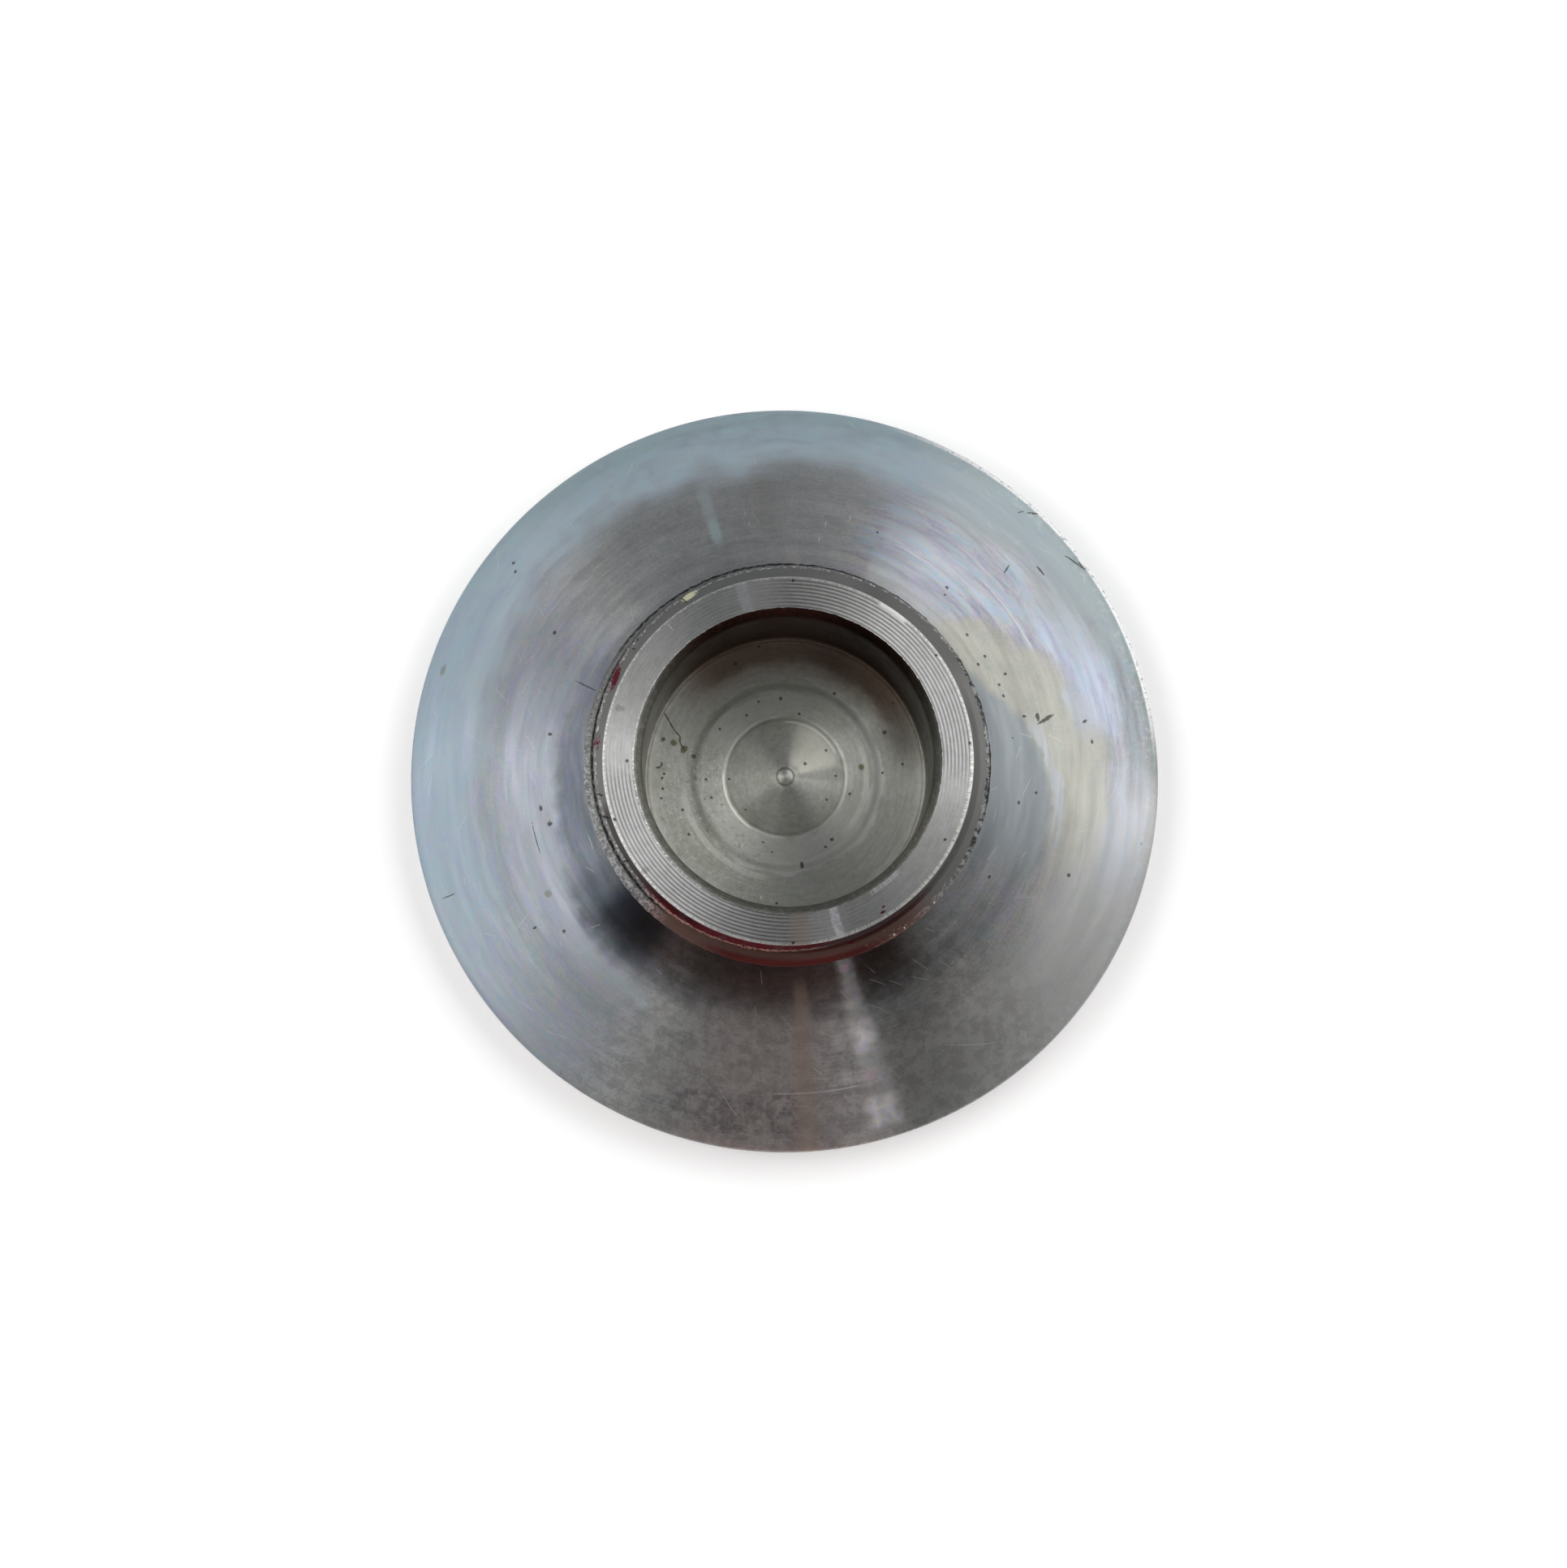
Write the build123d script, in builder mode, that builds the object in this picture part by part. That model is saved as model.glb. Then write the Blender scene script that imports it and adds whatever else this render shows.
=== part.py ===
"""Sanitary clamp end cap: a clamp flange with a tapered back and a threaded hub with a blind pocket.

One turned solid. It lies on its sealing face, with the hub up. Lengths are in millimetres and
angles in degrees. The origin is the centre of the sealing face, and +Z runs along the turning
axis towards the open end of the hub.
"""
import os
from math import radians, tan

from build123d import *

# Clamp flange: a clamp ring closes round the rim and wedges on the tapered back.
flange_diameter = 50.5
rim_thickness = 2.85
rim_chamfer = 0.25
taper_angle = 20

# Gasket groove in the sealing face: flat floor and sloping sides, 43.6 mm across its middle.
gasket_land_width = 1.95  # flat ring left between the groove and the rim
gasket_groove_floor_width = 1.3
gasket_groove_side_width = 0.85
gasket_groove_depth = 1.3

# Right-hand G 3/4 thread on the hub, from the relief up to the hub's top face.
thread_diameter = 26.441
thread_pitch = 1.814
thread_depth_per_pitch = 0.640327
thread_flank_angle = 27.5
thread_length = 3.15
thread_start_angle = 22  # where the groove's centre line reaches the height of the top face
lead_in_clearance = 0.07  # the 45 degree lead-in ends this far inside the thread's root

# Relief between the tapered back and the thread, with a sloping shoulder up to the first crest.
relief_width = 0.8
relief_clearance = 0.1
relief_shoulder_rise = 0.3

# Blind pocket, open at the hub's top face.
pocket_diameter = 19
pocket_depth = 9.25
pocket_corner_chamfer = 0.42  # reaches higher than the tip of the pip
mouth_chamfer = 0.48

# Pocket floor, from the outside in: low step, fine tool ring, shallow cone and the pip on its tip.
step_radius = 5.9
step_slope_width = 0.6
step_height = 0.07
tool_ring_radius = 4.08
tool_ring_width = 0.22
tool_ring_depth = 0.08
cone_rise = 0.13
pip_moat_width = 0.14
pip_radius = 0.62
pip_height = 0.2

rim_radius = flange_diameter / 2
taper_slope = tan(radians(taper_angle))
groove_floor_outer = rim_radius - gasket_land_width - gasket_groove_side_width
groove_floor_inner = groove_floor_outer - gasket_groove_floor_width

thread_radius = thread_diameter / 2
thread_depth = thread_depth_per_pitch * thread_pitch
root_radius = thread_radius - thread_depth
relief_radius = root_radius - relief_clearance
lead_in_radius = root_radius - lead_in_clearance
relief_bottom = rim_thickness + (rim_radius - relief_radius) * taper_slope
relief_top = relief_bottom + relief_width
hub_height = relief_top + thread_length

pocket_radius = pocket_diameter / 2
pocket_floor = hub_height - pocket_depth
step_top = pocket_floor + step_height
tool_ring_inner = tool_ring_radius - tool_ring_width / 2
tool_ring_outer = tool_ring_radius + tool_ring_width / 2
pip_base = step_top + cone_rise
pip_top = pip_base + pip_height

# The body: a section with radius along X and height along Z, turned about the axis.
with BuildPart() as end_cap:
    with BuildSketch(Plane.XZ):
        with BuildLine():
            sealing_side = Polyline(
                (0, 0),
                (groove_floor_inner - gasket_groove_side_width, 0),
                (groove_floor_inner, gasket_groove_depth),
                (groove_floor_outer, gasket_groove_depth),
                (groove_floor_outer + gasket_groove_side_width, 0),
                (rim_radius - rim_chamfer, 0),
                (rim_radius, rim_chamfer),
            )
            back_and_hub = Polyline(
                sealing_side @ 1,
                (rim_radius, rim_thickness - rim_chamfer),
                (rim_radius - rim_chamfer, rim_thickness + rim_chamfer * taper_slope),
                (relief_radius, relief_bottom),
                (relief_radius, relief_top),
                (thread_radius, relief_top + relief_shoulder_rise),
                (thread_radius, hub_height - (thread_radius - lead_in_radius)),
                (lead_in_radius, hub_height),
                (pocket_radius + mouth_chamfer, hub_height),
            )
            pocket = Polyline(
                back_and_hub @ 1,
                (pocket_radius, hub_height - mouth_chamfer),
                (pocket_radius, pocket_floor + pocket_corner_chamfer),
                (pocket_radius - pocket_corner_chamfer, pocket_floor),
                (step_radius + step_slope_width, pocket_floor),
                (step_radius, step_top),
                (tool_ring_outer, step_top),
                (tool_ring_radius, step_top - tool_ring_depth),
                (tool_ring_inner, step_top),
                (pip_radius + pip_moat_width, pip_base),
                (pip_radius, pip_base),
            )
            TangentArc((0, pip_top), pocket @ 1, tangent=(1, 0))
            Line((0, pip_top), (0, 0))
        make_face()
    revolve(axis=Axis.Z)

# The thread's groove: a truncated Whitworth section swept along a helix, from inside the relief to
# a pitch above the top face. The root flat is a sixth of the pitch, and the section reaches a
# twelfth of the pitch past the crests.
groove_bottom = relief_bottom + relief_width / 2
groove_height = hub_height + thread_pitch - groove_bottom
root_half_width = thread_pitch / 12
groove_reach = thread_depth + thread_pitch / 12
mouth_half_width = root_half_width + groove_reach * tan(radians(thread_flank_angle))
with BuildPart() as thread_groove:
    with BuildLine() as groove_path:
        Helix(thread_pitch, groove_height, root_radius, center=(0, 0, groove_bottom))
    with BuildSketch(Plane.XZ):
        with BuildLine():
            Polyline(
                (root_radius, groove_bottom - root_half_width),
                (root_radius + groove_reach, groove_bottom - mouth_half_width),
                (root_radius + groove_reach, groove_bottom + mouth_half_width),
                (root_radius, groove_bottom + root_half_width),
                close=True,
            )
        make_face()
    sweep(path=groove_path.wires()[0], is_frenet=True)

with end_cap:
    groove_turn = thread_start_angle - 360 * (hub_height - groove_bottom) / thread_pitch
    add(thread_groove.part.rotate(Axis.Z, groove_turn), mode=Mode.SUBTRACT)

end_cap.part.label = "end_cap"

os.makedirs("parts", exist_ok=True)
export_step(end_cap.part, "parts/end_cap.step")
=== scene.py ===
"""Looks of the sanitary clamp end cap: one closed turned-steel surface dressed over its CAD solid.

Lengths in the shape functions are millimetres, and the mesh is in metres. +Z is the turning axis,
and the cap lies on its sealing face. Azimuths are degrees counter-clockwise from +X.
"""

import math

import bpy
import numpy as np
from mathutils import Matrix, Vector


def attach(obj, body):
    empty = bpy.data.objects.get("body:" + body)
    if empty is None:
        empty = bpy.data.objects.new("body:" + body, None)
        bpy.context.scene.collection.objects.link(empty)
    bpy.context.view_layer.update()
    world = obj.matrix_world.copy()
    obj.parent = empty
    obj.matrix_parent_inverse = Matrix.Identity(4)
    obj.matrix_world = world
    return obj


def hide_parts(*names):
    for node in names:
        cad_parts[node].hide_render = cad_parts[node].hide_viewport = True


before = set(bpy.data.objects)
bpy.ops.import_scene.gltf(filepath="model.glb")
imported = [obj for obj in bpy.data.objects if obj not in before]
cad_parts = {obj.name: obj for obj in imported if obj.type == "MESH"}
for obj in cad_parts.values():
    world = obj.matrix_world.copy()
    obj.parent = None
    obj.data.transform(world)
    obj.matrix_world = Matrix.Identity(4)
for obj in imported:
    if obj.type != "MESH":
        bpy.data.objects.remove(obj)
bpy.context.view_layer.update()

MM = 0.001
DIVISIONS = 432  # steps round the axis

# The turned shape: the CAD solid's values, unless a comment says otherwise.
RIM_RADIUS = 25.25
RIM_THICKNESS = 2.85
RIM_ROUND = 0.3  # in place of the solid's 0.25 chamfers
TAPER = math.tan(math.radians(20))
FOOT_ROUND = 0.3  # fillet at the taper's foot, which is sharp in the solid
GASKET_RADIUS = 21.8  # middle of the gasket groove, which is round here and flat-floored in the solid
GASKET_ROUND = 1.42
HUB_HEIGHT = 11.6375
CREST_RADIUS = 13.3  # 0.08 over the solid's, for the burrs
ROOT_RADIUS = 12.06
LEAD_IN_RADIUS = 11.99
RELIEF_RADIUS = 11.96
RELIEF_TOP = 8.4875
SHOULDER_RISE = 0.3
PITCH = 1.814
FLANK = 1 / math.tan(math.radians(27.5))
GROOVE_START = 14.0  # azimuth where the groove's middle reaches the hub's top face; 22 in the solid
TOP_DROP = 0.026  # the facing grooves' mean depth below the hub's outer edge
POCKET_RADIUS = 9.5
MOUTH_RADIUS = 9.98
POCKET_FLOOR = 2.3875
POCKET_CORNER = 0.15  # round, in place of the solid's 0.42 chamfer
STEP_HEIGHT = 0.07
CONE_RISE = 0.13
PIP_RADIUS = 0.62
PIP_HEIGHT = 0.2
FACING_FEED = 0.2415  # from one facing groove on the hub's top to the next
FLANGE, HUB, POCKET, SEAL = range(4)


def ripple(azimuth, waves, seed):
    """Smooth closed noise round the axis, about -1 to 1: a sum of cosines with waves periods a turn,
    each with its own strength and phase."""
    chance = np.random.default_rng(seed)
    waves = np.asarray(waves)
    strength = chance.uniform(0.4, 1.0, waves.size)
    phase = chance.uniform(0, 2 * np.pi, waves.size)
    total = (strength[:, None] * np.cos(waves[:, None] * azimuth[None, :] + phase[:, None])).sum(0)
    return total / np.sqrt((strength**2).sum() / 2) / 2.2


def bump_at(azimuth, place, width):
    """One at a place on the turn, falling to nothing in a bell of the given width, both in degrees."""
    away = (np.degrees(azimuth) - place + 180) % 360 - 180
    return np.exp(-((away / width) ** 2))


def arc(centre_r, centre_z, radius, start, end, count):
    """Points of a round corner: (r, z) on a circle from the start angle to the end angle in degrees."""
    a = np.radians(np.linspace(start, end, count))
    return np.stack([centre_r + radius * np.cos(a), centre_z + radius * np.sin(a)], 1)


def line(r0, z0, r1, z1, count):
    """Points of a straight run, without its last one."""
    t = np.linspace(0, 1, count, endpoint=False)[:, None]
    return np.array([[r0, z0]]) * (1 - t) + np.array([[r1, z1]]) * t


def taper_height(r):
    """Height of the tapered back at radius r."""
    return RIM_THICKNESS + (RIM_RADIUS - r) * TAPER


def seal_profile():
    """Sealing face, from near the axis to the rim: flat, round gasket groove, flat."""
    return np.concatenate([
        line(9.0, 0, 20.3, 0, 2),
        line(20.3, 0, 20.45, 0.16, 1),
        arc(GASKET_RADIUS, 0.0, GASKET_ROUND, 173, 7, 13) * [1, 0.92],
        line(23.35, 0, RIM_RADIUS - RIM_ROUND, 0, 2),
    ])


def rim_profile():
    """Rim: round lower edge, straight wall, round upper edge into the taper."""
    corner = RIM_RADIUS - RIM_ROUND
    wall_top = RIM_THICKNESS - 0.25
    return np.concatenate([
        arc(corner, RIM_ROUND, RIM_ROUND, -90, 0, 5),
        line(RIM_RADIUS, 0.8, RIM_RADIUS, wall_top, 2),
        arc(corner, wall_top, RIM_ROUND, 0, 70, 6),
    ])


def back_profile():
    """Tapered back from the rim to the small fillet at its foot, and the wall of the relief."""
    r = np.concatenate([np.linspace(RIM_RADIUS - RIM_ROUND, 22, 10), np.linspace(21.4, 12.5, 16)])
    foot = RELIEF_RADIUS + FOOT_ROUND
    return np.concatenate([
        np.stack([r, taper_height(r)], 1),
        arc(foot, taper_height(foot) + 0.33, FOOT_ROUND, 250, 180, 4),
        line(RELIEF_RADIUS, 8.15, RELIEF_RADIUS, RELIEF_TOP, 2),
    ])


def hub_wall(azimuth):
    """Threaded wall, rows from the relief up to the top face.

    The radius is the least of four: the shoulder over the relief, the crests, the 45 degree lead-in
    and the thread's groove. The groove is a 55 degree V that rises one pitch a turn, so its radius is
    the root's plus the distance off its middle over tan 27.5. Its lips stand up in a ragged burr."""
    shoulder_top = RELIEF_TOP + SHOULDER_RISE
    z = np.concatenate([np.linspace(RELIEF_TOP, shoulder_top, 5)[:-1],
                        np.linspace(shoulder_top, HUB_HEIGHT, 57)])[:, None]
    middle = HUB_HEIGHT + PITCH * (np.degrees(azimuth)[None, :] - GROOVE_START) / 360
    off = (z - middle + PITCH / 2) % PITCH - PITCH / 2
    chatter = 0.018 * ripple(azimuth, np.arange(60, 200, 7), 3)
    chatter = chatter + 0.014 * ripple(azimuth, np.arange(9, 40, 3), 4)
    groove = ROOT_RADIUS + np.hypot(FLANK * np.abs(off + 0.4 * chatter) + 0.06, 0.02)
    body = np.minimum(CREST_RADIUS + chatter, LEAD_IN_RADIUS + HUB_HEIGHT - z)
    shoulder = RELIEF_RADIUS + (z - RELIEF_TOP) * (CREST_RADIUS - RELIEF_RADIUS) / SHOULDER_RISE
    lip = np.exp(-(((groove - body) / 0.09) ** 2)) * (HUB_HEIGHT - z > 0.25)
    ragged = np.clip(0.5 + 0.9 * ripple(azimuth, np.arange(40, 190, 5), 5), 0, 1.4)
    radius = np.minimum(np.minimum(groove, body), shoulder) + 0.045 * lip * ragged
    radius[-1] = LEAD_IN_RADIUS
    return radius, np.broadcast_to(z, radius.shape)


def hub_top(azimuth):
    """Top face of the hub: facing grooves, a cosine of the radius that is deeper on two sides of the
    turn and fades out near the two edges, which are ragged."""
    r = np.linspace(LEAD_IN_RADIUS - 0.03, MOUTH_RADIUS + 0.04, 43)[:, None]
    fade = np.clip((LEAD_IN_RADIUS - 0.06 - r) / 0.05, 0, 1) * np.clip((r - MOUTH_RADIUS - 0.08) / 0.05, 0, 1)
    depth = 0.024 * (0.12 + 0.88 * np.maximum(bump_at(azimuth, -130, 50), bump_at(azimuth, 50, 46)))
    grooves = np.cos((r - MOUTH_RADIUS) / FACING_FEED * 2 * np.pi) * fade * depth[None, :]
    edge = 0.012 * ripple(azimuth, np.arange(30, 200, 9), 9)[None, :] * (1 - fade)
    return np.broadcast_to(r, grooves.shape), HUB_HEIGHT - TOP_DROP + grooves + edge


def pocket_profile():
    """Pocket: mouth chamfer, wall, round corner, floor with its low step, tool ring, cone and pip."""
    step_top = POCKET_FLOOR + STEP_HEIGHT
    floor_r = np.array([8.7, 8.1, 7.4, 6.9, 6.6])
    step = np.linspace(6.55, 5.85, 8)
    rise = 0.5 - 0.5 * np.cos(np.pi * np.clip((6.5 - step) / 0.6, 0, 1))
    inner = np.array([5.6, 5.1, 4.7, 4.4])
    tool = np.linspace(4.3, 3.7, 9)
    cone = np.array([3.5, 3.0, 2.5, 2.0, 1.5, 1.1, 0.85])
    pip = np.array([0.55, 0.46, 0.36, 0.24, 0.12])
    return np.concatenate([
        line(MOUTH_RADIUS, HUB_HEIGHT - 0.02, POCKET_RADIUS + 0.02, HUB_HEIGHT - 0.47, 4),
        line(POCKET_RADIUS, HUB_HEIGHT - 0.52, POCKET_RADIUS, POCKET_FLOOR + POCKET_CORNER, 8),
        arc(POCKET_RADIUS - POCKET_CORNER, POCKET_FLOOR + POCKET_CORNER, POCKET_CORNER, 0, -90, 6),
        np.stack([floor_r, np.full(floor_r.size, POCKET_FLOOR)], 1),
        np.stack([step, POCKET_FLOOR + STEP_HEIGHT * rise], 1),
        np.stack([inner, np.full(inner.size, step_top)], 1),
        np.stack([tool, step_top - 0.05 * np.exp(-(((tool - 4.0) / 0.13) ** 2))], 1),
        np.stack([cone, step_top + CONE_RISE * (3.97 - cone) / 3.2], 1),
        np.array([[0.78, -0.02], [0.72, -0.04], [0.66, -0.03], [0.6, 0.02]]) + [0, step_top + CONE_RISE],
        np.stack([pip, step_top + CONE_RISE + PIP_HEIGHT * np.sqrt(1 - (pip / PIP_RADIUS) ** 2)], 1),
    ])


def turned_cap():
    """One closed surface: rows of points from the middle of the sealing face out, up and over into the
    middle of the pocket's floor. A row is a circle of radius r at height z, or nearly one where the
    shape is worn, and a fan of triangles closes each end."""
    azimuth = np.arange(DIVISIONS) * 2 * np.pi / DIVISIONS

    def turned(profile):
        shape = (len(profile), DIVISIONS)
        return np.broadcast_to(profile[:, :1], shape), np.broadcast_to(profile[:, 1:], shape)

    zones = [(SEAL, turned(seal_profile())), (FLANGE, turned(rim_profile())),
             (FLANGE, turned(back_profile())),
             (HUB, hub_wall(azimuth)), (HUB, hub_top(azimuth)), (POCKET, turned(pocket_profile()))]
    radius = np.concatenate([surface[0] for _, surface in zones])
    height = np.concatenate([surface[1] for _, surface in zones])
    finish = np.concatenate([np.full(len(surface[0]), zone) for zone, surface in zones])

    mouth = (np.abs(radius - MOUTH_RADIUS) < 0.05) & (height > HUB_HEIGHT - 0.1)
    radius = radius + mouth * 0.02 * ripple(azimuth, np.arange(20, 180, 6), 7)
    upper_rim = np.clip((radius - 24.4) / 0.8, 0, 1) * np.clip((height - 1.6) / 1.2, 0, 1)
    for place, width, depth in ((47.1, 0.5, 0.05), (36.3, 0.9, 0.22), (35.2, 0.5, 0.1)):
        nick = depth * bump_at(azimuth, place, width) * upper_rim
        radius, height = radius - nick, height - 0.5 * nick

    rows = len(radius)
    ground = np.stack([radius * np.cos(azimuth), radius * np.sin(azimuth), height], 2).reshape(-1, 3)
    pip_top = POCKET_FLOOR + STEP_HEIGHT + CONE_RISE + PIP_HEIGHT
    ends = np.array([[0, 0, 0], [0, 0, pip_top]])
    points = np.concatenate([ground, ends]) * MM

    row = np.arange(rows - 1)[:, None] * DIVISIONS
    here = np.arange(DIVISIONS)
    there = (here + 1) % DIVISIONS
    quads = np.stack([row + there, row + DIVISIONS + there, row + DIVISIONS + here, row + here], 2)
    quads = quads.reshape(-1, 4)
    below = np.full(DIVISIONS, len(points) - 2)
    above = np.full(DIVISIONS, len(points) - 1)
    last = (rows - 1) * DIVISIONS
    triangles = np.concatenate([np.stack([here, below, there], 1),
                                np.stack([last + here, last + there, above], 1)])
    finish[(finish == FLANGE) & (height[:, 0] < RIM_THICKNESS - 0.2)] = SEAL
    kinds = np.concatenate([np.repeat(finish[1:], DIVISIONS), np.full(DIVISIONS, SEAL),
                            np.full(DIVISIONS, POCKET)])
    return points, quads, triangles, kinds


def fill_mesh(name, points, quads, triangles):
    """Puts whole arrays of points and faces in a mesh."""
    mesh = bpy.data.meshes.new(name)
    loops = np.concatenate([quads.ravel(), triangles.ravel()]).astype(np.int32)
    sizes = np.concatenate([np.full(len(quads), 4), np.full(len(triangles), 3)]).astype(np.int32)
    starts = np.concatenate([[0], np.cumsum(sizes)[:-1]]).astype(np.int32)
    mesh.vertices.add(len(points))
    mesh.vertices.foreach_set("co", points.astype(np.float32).ravel())
    mesh.loops.add(len(loops))
    mesh.loops.foreach_set("vertex_index", loops)
    mesh.polygons.add(len(sizes))
    mesh.polygons.foreach_set("loop_start", starts)
    mesh.polygons.foreach_set("loop_total", sizes)
    mesh.polygons.foreach_set("use_smooth", np.ones(len(sizes), bool))
    mesh.update(calc_edges=True)
    mesh.validate()
    return mesh


points, quads, triangles, kinds = turned_cap()
mesh = fill_mesh("end_cap_turned", points, quads, triangles)
mesh.polygons.foreach_set("material_index", kinds.astype(np.int32))
cap = bpy.data.objects.new("end_cap_turned", mesh)
bpy.context.scene.collection.objects.link(cap)


class Wiring:
    """Short calls that add nodes to one node tree and join them."""

    def __init__(self, tree):
        self.tree, self.nodes, self.links = tree, tree.nodes, tree.links

    def put(self, kind, sockets=(), **settings):
        """Adds a node, applies its settings, and gives sockets values or links."""
        node = self.nodes.new("ShaderNode" + kind)
        for name, value in settings.items():
            setattr(node, name, value)
        for key, value in dict(sockets).items():
            self.feed(node.inputs[key], value)
        return node

    def feed(self, socket, value):
        if isinstance(value, bpy.types.NodeSocket):
            self.links.new(value, socket)
        else:
            socket.default_value = value

    def math(self, operation, a, b=0.0, c=0.0):
        return self.put("Math", {0: a, 1: b, 2: c}, operation=operation).outputs[0]

    def times(self, *factors):
        """Product of several values."""
        total = factors[0]
        for factor in factors[1:]:
            total = self.math("MULTIPLY", total, factor)
        return total

    def most(self, masks):
        """The greatest of several masks."""
        best = masks[0]
        for mask in masks[1:]:
            best = self.math("MAXIMUM", best, mask)
        return best

    def vector(self, operation, a, b=(0, 0, 0), scale=None):
        sockets = {0: a, 1: b} if scale is None else {0: a, "Scale": scale}
        return self.put("VectorMath", sockets, operation=operation).outputs[0]

    def mix(self, share, a, b, blend="MIX"):
        node = self.put("Mix", data_type="RGBA", blend_type=blend, clamp_factor=True)
        for socket, value in ((node.inputs[0], share), (node.inputs[6], a), (node.inputs[7], b)):
            self.feed(socket, value)
        return node.outputs[2]

    def ease(self, value, low, high, start=0.0, end=1.0):
        """Smooth step from start at low to end at high."""
        sockets = {"Value": value, "From Min": low, "From Max": high, "To Min": start, "To Max": end}
        return self.put("MapRange", sockets, interpolation_type="SMOOTHSTEP").outputs[0]

    def band(self, value, middle, half):
        """One within half of a middle value, gone at twice that."""
        away = self.math("ABSOLUTE", self.math("SUBTRACT", value, middle))
        return self.ease(away, half, 2 * half, 1.0, 0.0)

    def noise(self, vector, scale, detail=2.0, roughness=0.5):
        sockets = {"Vector": vector, "Scale": scale, "Detail": detail, "Roughness": roughness}
        return self.put("TexNoise", sockets).outputs["Fac"]

    def place(self, group, **values):
        """Places a shader group with its own values; outputs are read by name."""
        node = self.put("Group", node_tree=group)
        for name, value in values.items():
            self.feed(node.inputs[name.replace("_", " ")], value)
        return node.outputs


def effect(name, inputs, outputs):
    """A new shader group with named sockets: (name, kind, default) in and (name, kind) out."""
    tree = bpy.data.node_groups.new(name, "ShaderNodeTree")
    for label, kind, default in inputs:
        socket = tree.interface.new_socket(label, in_out="INPUT", socket_type="NodeSocket" + kind)
        if default is not None:
            socket.default_value = default
    for label, kind in outputs:
        tree.interface.new_socket(label, in_out="OUTPUT", socket_type="NodeSocket" + kind)
    wiring = Wiring(tree)
    given = wiring.nodes.new("NodeGroupInput").outputs
    return tree, wiring, given, wiring.nodes.new("NodeGroupOutput").inputs


def polar_group():
    """Where a point lies on the cap: radius and height in mm, azimuth in degrees, the unit vector round
    the axis, and the place itself in mm."""
    outputs = [("Radius", "Float"), ("Azimuth", "Float"), ("Height", "Float"), ("Around", "Vector"),
               ("Mm", "Vector")]
    tree, w, given, out = effect("polar place", [("Position", "Vector", None)], outputs)
    mm = w.vector("SCALE", given["Position"], scale=1000.0)
    flat = w.vector("MULTIPLY", mm, (1, 1, 0))
    x, y, height = w.put("SeparateXYZ", {0: mm}).outputs
    w.feed(out["Radius"], w.put("VectorMath", {0: flat}, operation="LENGTH").outputs["Value"])
    w.feed(out["Azimuth"], w.math("DEGREES", w.math("ARCTAN2", y, x)))
    w.feed(out["Height"], height)
    w.feed(out["Around"], w.vector("NORMALIZE", flat))
    w.feed(out["Mm"], mm)
    return tree


def patch_group():
    """A soft-edged patch of the turned surface: full within its spread in degrees and between two
    radii, and gone one edge further out."""
    inputs = [("Azimuth", "Float", 0), ("Radius", "Float", 0), ("Middle", "Float", 0),
              ("Spread", "Float", 20),
              ("Edge", "Float", 10), ("From radius", "Float", 13), ("To radius", "Float", 25),
              ("Radial edge", "Float", 1)]
    tree, w, given, out = effect("soft patch", inputs, [("Mask", "Float")])
    turned = w.math("WRAP", w.math("SUBTRACT", given["Azimuth"], given["Middle"]), 180.0, -180.0)
    off = w.math("ABSOLUTE", turned)
    side = w.ease(off, given["Spread"], w.math("ADD", given["Spread"], given["Edge"]), 1.0, 0.0)
    low, high, edge = given["From radius"], given["To radius"], given["Radial edge"]
    inner = w.ease(given["Radius"], w.math("SUBTRACT", low, edge), low)
    outer = w.ease(given["Radius"], high, w.math("ADD", high, edge), 1.0, 0.0)
    w.feed(out["Mask"], w.times(side, inner, outer))
    return tree


def mark_group():
    """A small ragged mark, such as a nick, a fleck or a fibre: an ellipse of given length and width in
    mm, turned in degrees from the radial line."""
    inputs = [("Azimuth", "Float", 0), ("Radius", "Float", 0), ("Shake", "Float", 0),
              ("At azimuth", "Float", 0),
              ("At radius", "Float", 20), ("Length", "Float", 0.5), ("Width", "Float", 0.1),
              ("Turn", "Float", 0)]
    tree, w, given, out = effect("small mark", inputs, [("Mask", "Float")])
    off = w.math("WRAP", w.math("SUBTRACT", given["Azimuth"], given["At azimuth"]), 180.0, -180.0)
    x = w.math("ADD", w.times(w.math("RADIANS", off), given["At radius"]),
               w.times(given["Shake"], given["Width"]))
    y = w.math("SUBTRACT", given["Radius"], given["At radius"])
    turn = w.math("RADIANS", given["Turn"])
    cosine, sine = w.math("COSINE", turn), w.math("SINE", turn)
    along = w.math("DIVIDE", w.math("ADD", w.times(y, cosine), w.times(x, sine)), given["Length"])
    across = w.math("DIVIDE", w.math("SUBTRACT", w.times(x, cosine), w.times(y, sine)), given["Width"])
    far = w.math("SQRT", w.math("ADD", w.times(along, along), w.times(across, across)))
    w.feed(out["Mask"], w.ease(far, 0.35, 0.6, 1.0, 0.0))
    return tree


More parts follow.
